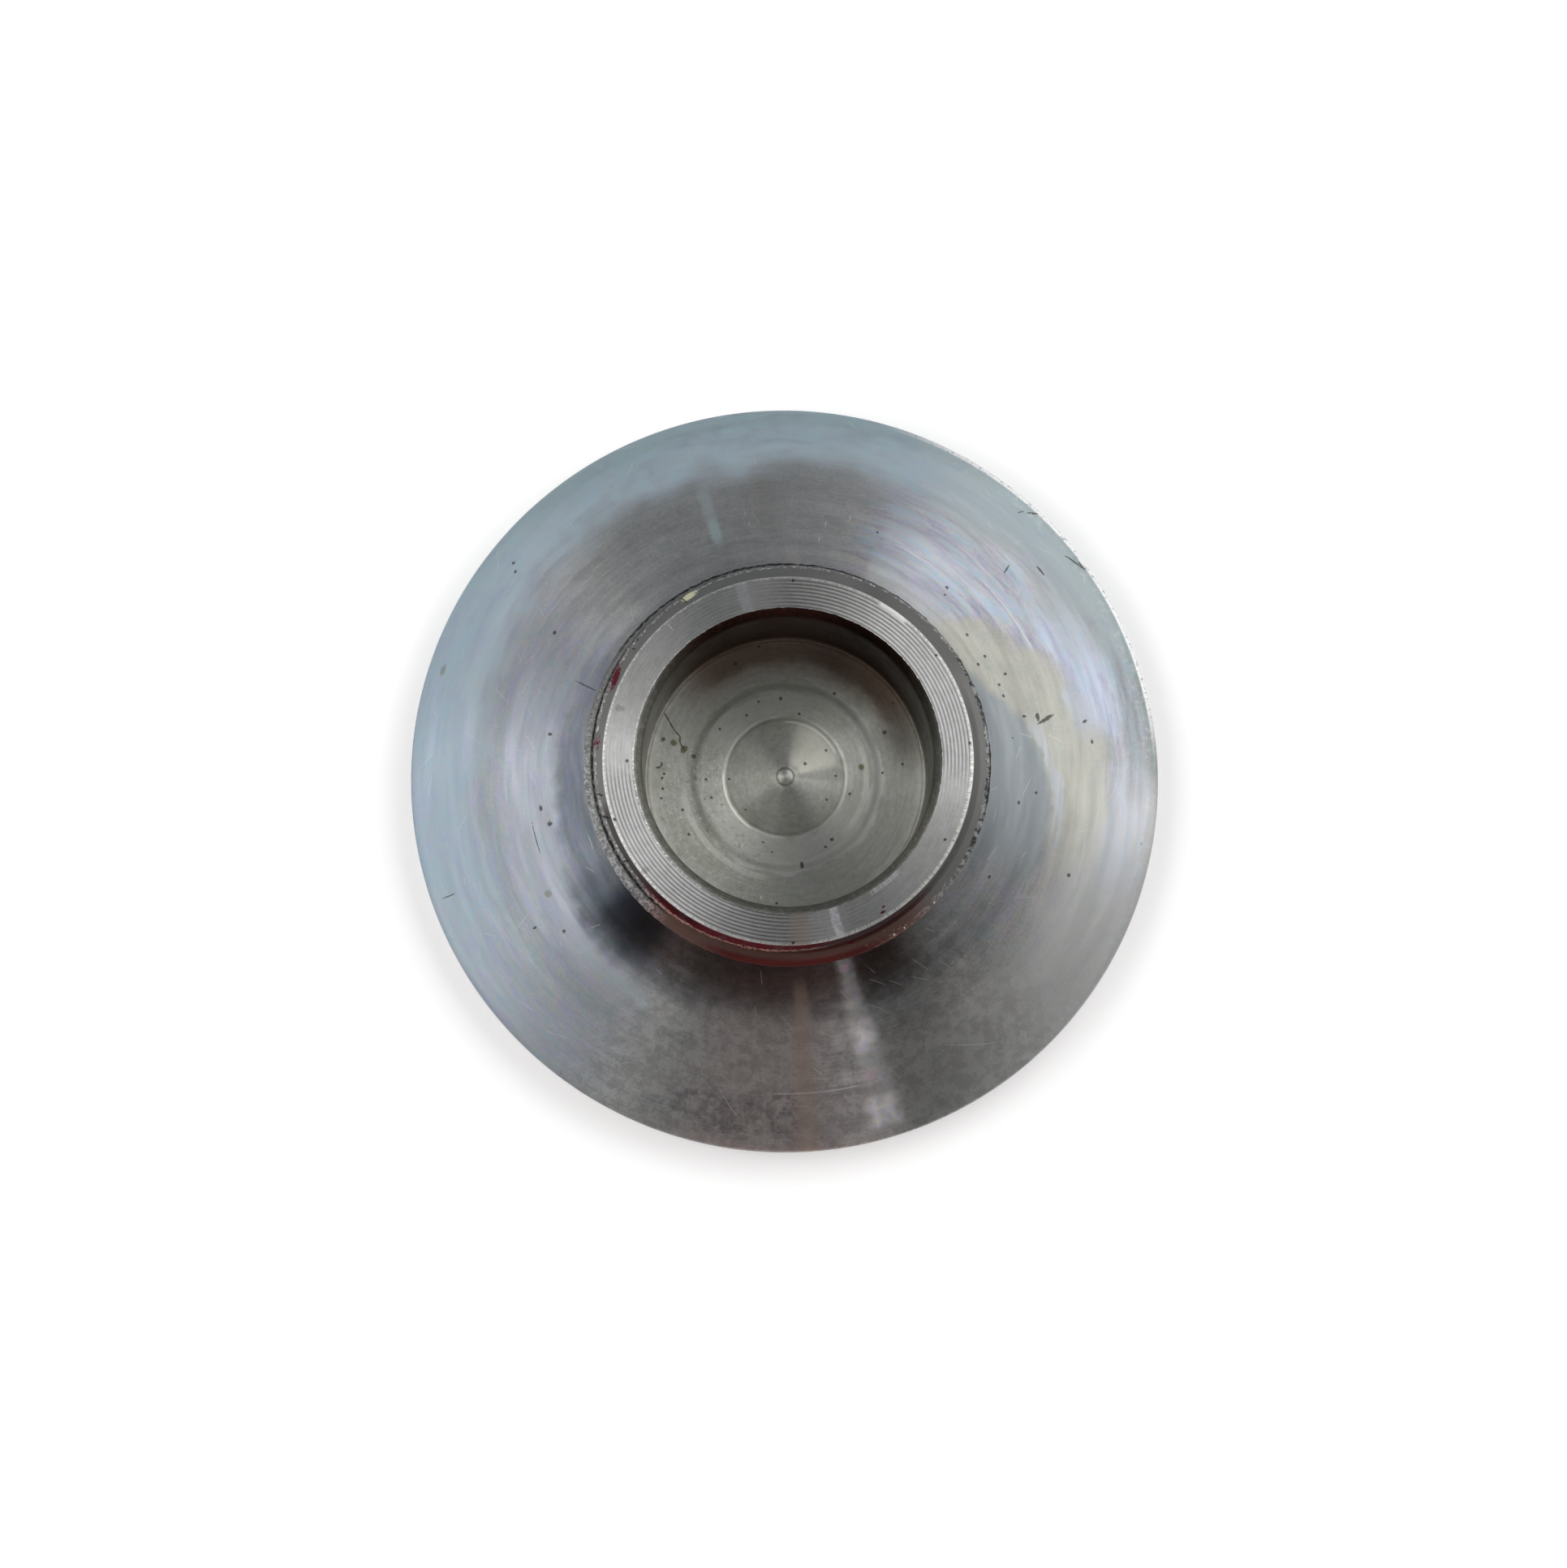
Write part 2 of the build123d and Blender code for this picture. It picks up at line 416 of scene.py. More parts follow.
def turning_group():
    """Marks left by the cutting tool: fine lines round the axis, each broken into arcs, over slower and
    wider bands."""
    inputs = [("Around", "Vector", None), ("Across", "Float", 0), ("Lines per mm", "Float", 9),
              ("Broken", "Float", 3)]
    tree, w, given, out = effect("turning marks", inputs, [("Lines", "Float"), ("Bands", "Float")])
    lift = w.put("CombineXYZ", {2: w.times(given["Across"], given["Lines per mm"])}).outputs[0]
    fine = w.vector("ADD", w.vector("SCALE", given["Around"], scale=given["Broken"]), lift)
    w.feed(out["Lines"], w.noise(fine, 1.0, 3.0, 0.6))
    slow = w.put("CombineXYZ", {2: w.times(given["Across"], 1.3)}).outputs[0]
    wide = w.vector("ADD", w.vector("SCALE", given["Around"], scale=2.5), slow)
    w.feed(out["Bands"], w.noise(wide, 1.0, 3.0, 0.6))
    return tree


def speck_group():
    """Scattered small specks of dirt and pits: round cells, of which only a share is filled."""
    inputs = [("Mm", "Vector", None), ("Spacing", "Float", 1.2), ("Size", "Float", 0.1),
              ("Share", "Float", 0.2)]
    tree, w, given, out = effect("scattered specks", inputs, [("Mask", "Float")])
    bend = w.put("TexNoise", {"Vector": given["Mm"], "Scale": 5.0}).outputs["Color"]
    spot = w.vector("ADD", given["Mm"], w.vector("SCALE", bend, scale=0.12))
    cells = w.put("TexVoronoi", {"Vector": spot, "Scale": w.math("DIVIDE", 1.0, given["Spacing"])})
    filled, large, _ = w.put("SeparateColor", {0: cells.outputs["Color"]}).outputs
    size = w.times(given["Size"], w.math("ADD", 0.35, large))
    far = w.times(cells.outputs["Distance"], given["Spacing"])
    near = w.ease(far, w.times(size, 0.5), size, 1.0, 0.0)
    w.feed(out["Mask"], w.times(near, w.math("LESS_THAN", filled, given["Share"])))
    return tree


def scratch_group():
    """Scattered short straight scratches, one in each filled cell, turned about a mean direction given
    in degrees from +X."""
    inputs = [("Mm", "Vector", None), ("Spacing", "Float", 2), ("Length", "Float", 1),
              ("Width", "Float", 0.04),
              ("Share", "Float", 0.4), ("Direction", "Float", 30), ("Spread", "Float", 60)]
    tree, w, given, out = effect("scattered scratches", inputs, [("Mask", "Float")])
    cells = w.put("TexVoronoi", {"Vector": given["Mm"], "Scale": w.math("DIVIDE", 1.0, given["Spacing"])},
                  voronoi_dimensions="2D")
    x, y, _ = w.put("SeparateXYZ", {0: w.vector("SUBTRACT", given["Mm"], cells.outputs["Position"])}).outputs
    filled, swing, size = w.put("SeparateColor", {0: cells.outputs["Color"]}).outputs
    swung = w.times(w.math("SUBTRACT", swing, 0.5), given["Spread"])
    turn = w.math("RADIANS", w.math("ADD", given["Direction"], swung))
    cosine, sine = w.math("COSINE", turn), w.math("SINE", turn)
    along = w.math("ABSOLUTE", w.math("ADD", w.times(x, cosine), w.times(y, sine)))
    across = w.math("ABSOLUTE", w.math("SUBTRACT", w.times(y, cosine), w.times(x, sine)))
    reach = w.times(given["Length"], w.math("ADD", 0.3, size), 0.5)
    line = w.ease(across, w.times(given["Width"], 0.3), given["Width"], 1.0, 0.0)
    w.feed(out["Mask"], w.times(line, w.ease(along, w.times(reach, 0.5), reach, 1.0, 0.0),
                                w.math("LESS_THAN", filled, given["Share"])))
    return tree


def film_group():
    """Faint oxide tints that follow one another as a value rises: cream, blue, lilac, cream, blue-green,
    pink and green-grey."""
    tree, w, given, out = effect("oxide film", [("Value", "Float", 0.5)], [("Tint", "Color")])
    ramp = w.put("ValToRGB", {"Fac": given["Value"]})
    colours = ((0.3, (1.0, 0.98, 0.88)), (0.4, (0.84, 0.9, 1.0)), (0.46, (0.96, 0.88, 1.0)),
               (0.52, (1.0, 0.98, 0.88)), (0.58, (0.82, 0.95, 1.0)), (0.64, (1.0, 0.9, 0.96)),
               (0.75, (0.93, 0.98, 0.9)))
    while len(ramp.color_ramp.elements) < len(colours):
        ramp.color_ramp.elements.new(0.5)
    for element, (at, tint) in zip(ramp.color_ramp.elements, colours):
        element.position, element.color = at, (*tint, 1)
    w.feed(out["Tint"], ramp.outputs[0])
    return tree


POLAR, PATCH, MARK, TURNING = polar_group(), patch_group(), mark_group(), turning_group()
SPECK, SCRATCH, FILM = speck_group(), scratch_group(), film_group()
BORDER_REACH = 30.0  # radius in mm that a border's curve calls one


class Finish(Wiring):
    """A turned-steel material: metal whose shine spreads across the turning marks, with a colour built
    up in layers."""

    def __init__(self, name, colour, roughness, stretch):
        self.material = bpy.data.materials.new(name)
        self.material.use_nodes = True
        super().__init__(self.material.node_tree)
        self.shader = self.nodes["Principled BSDF"]
        self.shader.inputs["Metallic"].default_value = 1.0
        self.shader.inputs["Roughness"].default_value = roughness
        self.shader.inputs["Anisotropic"].default_value = stretch
        self.shader.inputs["Anisotropic Rotation"].default_value = 0.25
        tangent = self.put("Tangent", direction_type="RADIAL", axis="Z").outputs[0]
        self.feed(self.shader.inputs["Tangent"], tangent)
        where = self.place(POLAR, Position=self.put("TexCoord").outputs["Object"])
        self.radius, self.azimuth, self.height = where["Radius"], where["Azimuth"], where["Height"]
        self.around, self.mm = where["Around"], where["Mm"]
        self.shake = self.math("SUBTRACT", self.noise(self.mm, 9.0), 0.5)
        self.colour = (*colour, 1)

    def waver(self, scale, amount, seed=0.0):
        """Azimuth and radius shaken by slow noise, for edges that aren't straight."""
        moved = self.vector("ADD", self.mm, (seed, seed, seed))
        noise = self.put("TexNoise", {"Vector": moved, "Scale": scale, "Detail": 3.0}).outputs["Color"]
        first, second, _ = self.put("SeparateColor", {0: noise}).outputs
        radius = self.math("ADD", self.radius, self.times(self.math("SUBTRACT", first, 0.5), amount))
        azimuth = self.math("ADD", self.azimuth, self.times(self.math("SUBTRACT", second, 0.5), amount * 3))
        return azimuth, radius

    def patch(self, middle, spread, edge, low, high, radial_edge, waver=None):
        azimuth, radius = waver or (self.azimuth, self.radius)
        return self.place(PATCH, Azimuth=azimuth, Radius=radius, Middle=float(middle), Spread=float(spread),
                          Edge=float(edge), From_radius=float(low), To_radius=float(high),
                          Radial_edge=float(radial_edge))["Mask"]

    def side(self, middle, spread, edge):
        """A side of the turn, at any radius."""
        return self.patch(middle, spread, edge, 0, 30, 1)

    def ring(self, low, high, edge):
        """The whole way round between two radii."""
        return self.patch(180, 181, 1, low, high, edge)

    def beyond(self, border, waver):
        """Distance in mm outside a border drawn round the axis through a few (azimuth, radius) places."""
        azimuth, radius = waver
        node = self.put("FloatCurve", {"Value": self.math("DIVIDE", self.math("ADD", azimuth, 180.0), 360.0)})
        curve = node.mapping.curves[0]
        while len(curve.points) < len(border):
            curve.points.new(0.5, 0.5)
        for point, (at, distance) in zip(curve.points, border):
            point.location = ((at + 180) / 360, distance / BORDER_REACH)
        node.mapping.update()
        return self.math("SUBTRACT", radius, self.times(node.outputs[0], BORDER_REACH))

    def marks(self, *places):
        """Small marks, each (azimuth, radius, length, width) with its turn from the radial line if any."""
        best = 0.0
        for azimuth, radius, length, width, *turn in places:
            mark = self.place(MARK, Azimuth=self.azimuth, Radius=self.radius, Shake=self.shake,
                              At_azimuth=float(azimuth), At_radius=float(radius), Length=float(length),
                              Width=float(width), Turn=float(turn[0] if turn else 0))["Mask"]
            best = self.math("MAXIMUM", best, mark)
        return best

    def stain(self, mask, colour, strength=1.0):
        """Turns the colour towards another one inside a mask."""
        self.colour = self.mix(self.times(mask, strength), self.colour, (*colour, 1))

    def shade(self, mask, tint, strength=1.0):
        """Multiplies the colour by a tint inside a mask."""
        self.colour = self.mix(self.times(mask, strength), self.colour, (*tint, 1), "MULTIPLY")

    def done(self, roughness=None, metallic=None, bump=None, bump_mm=0.01):
        self.feed(self.shader.inputs["Base Color"], self.colour)
        if roughness is not None:
            self.feed(self.shader.inputs["Roughness"], roughness)
        if metallic is not None:
            self.feed(self.shader.inputs["Metallic"], metallic)
        if bump is not None:
            node = self.put("Bump", {"Height": bump, "Distance": bump_mm * MM, "Strength": 1.0})
            self.feed(self.shader.inputs["Normal"], node.outputs[0])
        return self.material


def flange_finish():
    """Flange: pale tarnish near the rim, lilac and cream tints on one side, painted shade round the hub with
    a dark red-brown painted reflection on the south side, painted lighter and darker patches, broken turning
    lines, short scratches, a bright radial glint painted as a highlight and scattered dirt."""
    f = Finish("flange_steel", (0.49, 0.49, 0.485), 0.4, 0.95)
    turning = f.place(TURNING, Around=f.around, Across=f.radius, Lines_per_mm=8.0, Broken=8.0)
    streaks = f.place(TURNING, Around=f.around, Across=f.radius, Lines_per_mm=2.6, Broken=7.0)["Lines"]
    loose = f.waver(0.2, 4.0)
    tight = f.waver(0.6, 1.4, 7.0)
    mottle = f.noise(f.mm, 0.8, 5.0, 0.7)
    grain = f.noise(f.mm, 5.0, 3.0, 0.7)

    f.shade(f.ease(turning["Lines"], 0.35, 0.65), (0.88, 0.88, 0.88), 0.9)
    f.shade(f.ease(turning["Bands"], 0.42, 0.62), (0.94, 0.95, 0.96), 0.6)
    f.shade(f.ease(mottle, 0.42, 0.62), (0.86, 0.87, 0.88), 0.7)
    f.shade(f.ease(grain, 0.4, 0.62), (0.86, 0.86, 0.86), 0.8)

    east = f.patch(16, 52, 16, 12, 26, 1, loose)
    drift = f.math("ADD", f.times(streaks, 0.45), f.times(mottle, 0.55))
    tint = f.place(FILM, Value=drift)["Tint"]
    f.colour = f.mix(f.times(east, 0.75), f.colour, tint, "MULTIPLY")
    west = f.patch(-172, 40, 14, 14, 26, 1, loose)
    f.stain(west, (0.42, 0.46, 0.53), 0.5)
    f.colour = f.mix(f.times(west, 0.6), f.colour, tint, "MULTIPLY")
    # Painted light: a lighter patch on the flange near the hub around azimuth 49, standing for a brighter
    # reflection there.
    light = f.times(f.patch(49, 17.5, 2.6, 13.6, 17.6, 3.2, tight), f.patch(64, 6, 24, 12, 26, 1))
    f.stain(light, (0.6, 0.62, 0.64), 0.5)
    # Painted light: the outer flange on the south-east made lighter, standing for a brighter reflection
    # there.
    f.stain(f.patch(-34, 24, 16, 20.5, 26, 2.6, loose), (0.64, 0.65, 0.64), 0.6)

    cream_edge = f.beyond(((-180, 13), (-60, 13), (-22, 20), (0, 22), (10, 21), (18, 20), (25, 19.2),
                           (28, 17.7),
                           (37, 17), (40, 15.8), (45, 14.3), (56, 13), (180, 13)), tight)
    cream = f.times(f.ease(cream_edge, -1.0, 0.5, 1.0, 0.0), f.patch(16, 26, 18, 12, 26, 1))
    f.stain(cream, (0.455, 0.455, 0.39), f.ease(mottle, 0.3, 0.6, 0.85, 0.5))
    pastel = f.times(f.patch(38, 28, 10, 15.5, 22, 1.4, loose), f.ease(cream_edge, -0.3, 0.8))
    f.stain(f.times(pastel, f.ease(streaks, 0.3, 0.6)), (0.5, 0.57, 0.7), 0.55)
    sheen = f.place(FILM, Value=f.math("ADD", 0.1, f.times(streaks, 0.8)))["Tint"]
    f.colour = f.mix(f.times(f.most([pastel, f.times(west, 0.6)]), 0.9), f.colour, sheen, "MULTIPLY")
    f.stain(f.patch(20, 8, 8, 20, 22, 0.8, tight), (0.55, 0.62, 0.78), 0.4)
    rim_band = f.times(f.patch(2, 15, 12, 22.3, 24.2, 0.8, tight), f.ease(streaks, 0.3, 0.6))
    f.stain(rim_band, (0.5, 0.55, 0.68), 0.45)
    f.shade(f.patch(20, 14, 14, 23.6, 26, 0.9, tight), (0.72, 0.76, 0.73), 0.9)

    inner_edge = f.beyond(((-180, 15.4), (-165, 15.8), (-150, 16.6), (-140, 17.3), (-120, 17.2), (-100, 16.6),
                           (-60, 17.0), (-30, 17.6), (-10, 17.8), (0, 17.3), (8, 16.6), (14, 15.9), (19, 15),
                           (24, 14.2), (60, 13.6), (140, 13.8), (160, 14.8), (180, 15.4)), tight)
    # Painted shade: the flange darker inside the inner border, round the hub.
    f.shade(f.ease(inner_edge, -0.9, 0.6, 1.0, 0.0), (0.76, 0.78, 0.8), 0.95)
    east_shadow = f.times(f.ease(inner_edge, -0.4, 0.25, 1.0, 0.0), f.patch(2, 18, 16, 12, 26, 1))
    f.stain(east_shadow, (0.29, 0.325, 0.355), 0.75)
    wedge = f.times(f.band(inner_edge, 0.6, 0.3), f.patch(-2, 9, 8, 12, 26, 1), f.ease(streaks, 0.3, 0.55))
    f.stain(wedge, (0.5, 0.56, 0.68), 0.4)
    # Painted shade: the flange darker close to the hub, where the hub rises from it.
    f.shade(f.ease(f.radius, 12.6, 14.8, 1.0, 0.0), (0.76, 0.76, 0.77), 0.9)

    south = f.patch(-84, 34, 16, 12, 25.4, 1, loose)
    f.shade(f.times(south, f.ease(f.noise(f.mm, 1.1, 5.0, 0.75), 0.42, 0.58)), (0.74, 0.73, 0.72), 0.75)
    f.shade(f.patch(-56, 9, 8, 12, 22, 3, loose), (0.82, 0.8, 0.78), 0.7)
    blue_mottle = f.times(f.patch(-66, 5, 4, 15.5, 17.5, 1), f.ease(streaks, 0.46, 0.6))
    f.stain(blue_mottle, (0.42, 0.5, 0.62), 0.2)
    # Painted reflection and shade: dark red-brown on the flange next to the hub on the south side, standing
    # for a dark red reflection there.
    painted_hub_reflection = f.patch(-97, 35, 18, 0, 14.2, 3.6, tight)
    f.shade(painted_hub_reflection, (0.28, 0.2, 0.18), 0.95)
    blotch = f.patch(-134, 5.5, 7, 0, 15.0, 2.4, tight)
    f.shade(blotch, (0.3, 0.32, 0.34), 0.9)
    f.shade(f.patch(-141, 7, 9, 0, 16.2, 1.2, tight), (0.6, 0.61, 0.62), 0.9)
    smudge = f.times(f.patch(-99, 8, 6, 22.2, 23.8, 1.2, tight),
                     f.ease(f.noise(f.mm, 1.3, 4.0, 0.7), 0.4, 0.6))
    f.shade(smudge, (0.62, 0.62, 0.64), 0.8)
    # Painted shade: the flange darker near the hub on the west side.
    f.shade(f.patch(-163, 20, 12, 0, 14.8, 1.2, tight), (0.72, 0.74, 0.77), 0.9)
    f.stain(f.patch(-130, 8, 4, 17.8, 18.2, 0.4, tight), (0.4, 0.48, 0.5), 0.4)
    shine_edge = f.beyond(((-180, 15.2), (-165, 15.5), (-150, 16.3), (-140, 16.9), (-122, 17.8), (160, 14.6),
                           (170, 15), (180, 15.2)), tight)
    shine = f.times(f.ease(shine_edge, -0.1, 0.5), f.patch(-168, 28, 14, 14, 17.6, 2.6))
    f.stain(shine, (0.5, 0.53, 0.6), 0.3)
    # Painted shade: the west side of the flange a little darker within radius 19 and beyond radius 20, with a
    # darker green-grey band between.
    f.shade(f.patch(-172, 30, 16, 14, 19, 1, tight), (0.86, 0.88, 0.9), 0.8)
    f.shade(f.patch(-168, 34, 14, 19.9, 20.7, 0.8, tight), (0.86, 0.9, 0.88), 0.9)
    f.shade(f.patch(-160, 34, 14, 20, 26, 2, loose), (0.9, 0.91, 0.92), 0.9)

    f.stain(f.patch(-86.5, 0.8, 1.8, 15.2, 24.8, 1.6), (0.44, 0.35, 0.28), 0.42)
    glint = f.patch(-73.7, 1.0, 2.8, 13.4, 24.4, 0.9, f.waver(1.2, 0.5, 3.0))
    sparkle = f.ease(f.noise(f.mm, 0.7, 2.0, 0.6), 0.36, 0.6, 0.4, 1.0)
    rainbow = f.place(FILM, Value=f.noise(f.mm, 0.8, 4.0, 0.7))["Tint"]
    brightest = f.most([f.patch(-74.4, 5, 1, 17.7, 19.0, 0.8), f.patch(-74.4, 5, 1, 22.7, 24.0, 0.8)])
    f.colour = f.mix(f.times(glint, sparkle, f.ease(brightest, 0.0, 1.0, 0.32, 0.85)), f.colour, rainbow)
    f.stain(f.times(glint, f.marks((-74.4, 20.9, 0.9, 0.7), (-74, 13.8, 0.6, 0.7))), (0.7, 0.45, 0.58), 0.4)
    # Painted highlight: a soft pale radial streak at azimuth 106.5 with a brighter cyan end, a reflection
    # across the turning.
    f.stain(f.patch(106.5, 0.5, 1.4, 16.2, 19.6, 1.0), (0.6, 0.68, 0.7), 0.45)
    f.stain(f.marks((106.5, 16.9, 1.8, 0.8)), (0.6, 0.85, 0.85), 0.3)
    f.stain(f.patch(94.5, 1.0, 2.0, 16.5, 20, 0.8), (0.36, 0.33, 0.3), 0.35)

    haze_edge = f.beyond(((-180, 21.1), (-165, 21.2), (-150, 21.6), (-120, 23.2), (-100, 24.2), (-85, 25.2),
                          (-50, 25.6), (-20, 25.3), (0, 24.7), (15, 23.9), (30, 23.2), (50, 22.4), (90, 21.4),
                          (130, 20.9), (155, 21.3), (180, 21.1)), loose)
    haze = f.times(f.ease(haze_edge, -1.5, 1.1), f.patch(118, 66, 60, 20, 27, 0.5),
                   f.ease(drift, 0.35, 0.6, 0.7, 1.0))
    f.stain(haze, (0.35, 0.455, 0.54), 0.85)
    f.colour = f.mix(f.times(haze, 0.5), f.colour, tint, "MULTIPLY")
    f.shade(f.times(haze, f.patch(70, 60, 30, 24.3, 26, 0.5, tight)), (0.86, 0.9, 0.84), 0.9)
    worn = f.times(f.patch(44, 14, 12, 21.6, 26, 1.4, loose), f.ease(mottle, 0.3, 0.56, 0.45, 1.0))
    f.stain(worn, (0.4, 0.425, 0.42), 0.6)
    f.stain(f.times(haze, f.patch(84, 60, 40, 21, 26, 0.8, loose)), (0.42, 0.56, 0.62), 0.22)
    f.stain(f.patch(120, 44, 24, 20.6, 22.4, 1.2, loose), (0.5, 0.55, 0.6), 0.2)

    lines = f.place(SCRATCH, Mm=f.mm, Spacing=1.7, Length=1.9, Width=0.045, Share=0.55, Direction=-28.0,
                    Spread=50.0)
    f.stain(f.times(lines["Mask"], f.patch(-66, 26, 14, 14.5, 24.6, 1, loose)), (0.62, 0.62, 0.62), 0.4)
    lines = f.place(SCRATCH, Mm=f.mm, Spacing=1.5, Length=1.3, Width=0.05, Share=0.4, Direction=140.0,
                    Spread=70.0)
    f.stain(f.times(lines["Mask"], f.patch(140, 30, 14, 15, 22, 1, loose)), (0.66, 0.68, 0.7), 0.2)
    lines = f.place(SCRATCH, Mm=f.mm, Spacing=2.2, Length=1.5, Width=0.04, Share=0.3, Direction=60.0,
                    Spread=180.0)
    f.stain(lines["Mask"], (0.7, 0.7, 0.7), 0.3)

    specks = f.place(SPECK, Mm=f.mm, Spacing=1.5, Size=0.09, Share=0.13)["Mask"]
    dirt = f.marks((-167, 16.1, 0.35, 0.35), (-171, 16.5, 0.25, 0.4), (-144, 18.2, 0.25, 0.25),
                   (-148, 19.7, 0.3, 0.2),
                   (171.5, 15.9, 0.3, 0.25), (149, 18.1, 0.25, 0.3), (-160, 24, 1.0, 0.08),
                   (142, 23.4, 0.25, 0.25),
                   (143, 22.9, 0.2, 0.25), (-20, 20.1, 0.25, 0.3), (11.5, 17.7, 1.4, 0.26, 22),
                   (12.4, 17.2, 0.3, 0.6),
                   (13, 16.3, 0.3, 0.2), (49, 16.4, 0.2, 0.3), (10, 20.4, 0.4, 0.2, 30), (6, 20.7, 0.2, 0.3),
                   (30, 15.3, 0.2, 0.24), (22, 15.3, 0.2, 0.2), (19, 15.3, 0.2, 0.25), (29, 14.6, 0.2, 0.24),
                   (24, 16, 0.25, 0.2), (37, 15.1, 0.2, 0.2), (43, 20.4, 0.8, 0.12, 15),
                   (39, 22.2, 0.15, 0.9),
                   (-28, 15.2, 0.2, 0.3), (-5, 16.7, 0.2, 0.2), (-8, 15.6, 0.2, 0.25),
                   (46.9, 24.75, 0.9, 0.16, -50),
                   (48.5, 24.2, 0.5, 0.1, -30), (36.6, 24.6, 1.7, 0.13, -70), (38, 24.4, 0.5, 0.1, -60),
                   (35.5, 24.9, 0.9, 0.2, -80), (157.5, 14.4, 1.7, 0.09, -6), (-164.5, 17.25, 0.07, 2.6))
    f.stain(f.most([specks, dirt]), (0.06, 0.06, 0.05), 0.85)
    f.stain(f.marks((163, 24.2, 0.35, 0.8), (-152.5, 17.8, 0.5, 0.5)), (0.2, 0.2, 0.15), 0.6)
    bright = f.marks((-100, 22.3, 2.4, 0.07, 43), (-84, 20, 1.0, 0.07, 49), (-55.5, 22, 4.2, 0.08, 59),
                     (99, 17.7, 0.5, 0.1), (98.5, 16.9, 0.4, 0.1), (82, 15.7, 0.5, 0.1), (81, 16.9, 0.5, 0.1),
                     (76, 17.7, 0.5, 0.1), (59, 17, 0.1, 4.2), (35, 18.5, 0.1, 6.0))
    f.stain(f.most([bright, f.patch(-84.5, 6, 3, 21.37, 21.43, 0.05)]), (0.8, 0.8, 0.82), 0.4)
    f.stain(f.patch(88.5, 1.2, 1.5, 13.8, 14.4, 0.6), (0.5, 0.48, 0.42), 0.4)
    ticks = f.ease(f.noise(f.vector("MULTIPLY", f.mm, (1, 1, 0.2)), 2.0, 3.0, 0.7), 0.5, 0.66)
    f.stain(f.times(f.patch(0, 58, 10, 24.4, 26, 0.4), ticks), (0.7, 0.73, 0.73), 0.2)

    rim_light = f.times(f.patch(38, 24, 14, 25.0, 26, 0.14), f.ease(grain, 0.3, 0.5))
    f.stain(rim_light, (1.0, 1.0, 1.0), 0.9)
    cover = f.times(haze, f.math("SUBTRACT", 1.0, rim_light), 0.6)
    return f.done(roughness=f.ease(turning["Bands"], 0.3, 0.7, 0.36, 0.44),
                  metallic=f.math("SUBTRACT", 1.0, cover), bump=turning["Lines"], bump_mm=0.004)


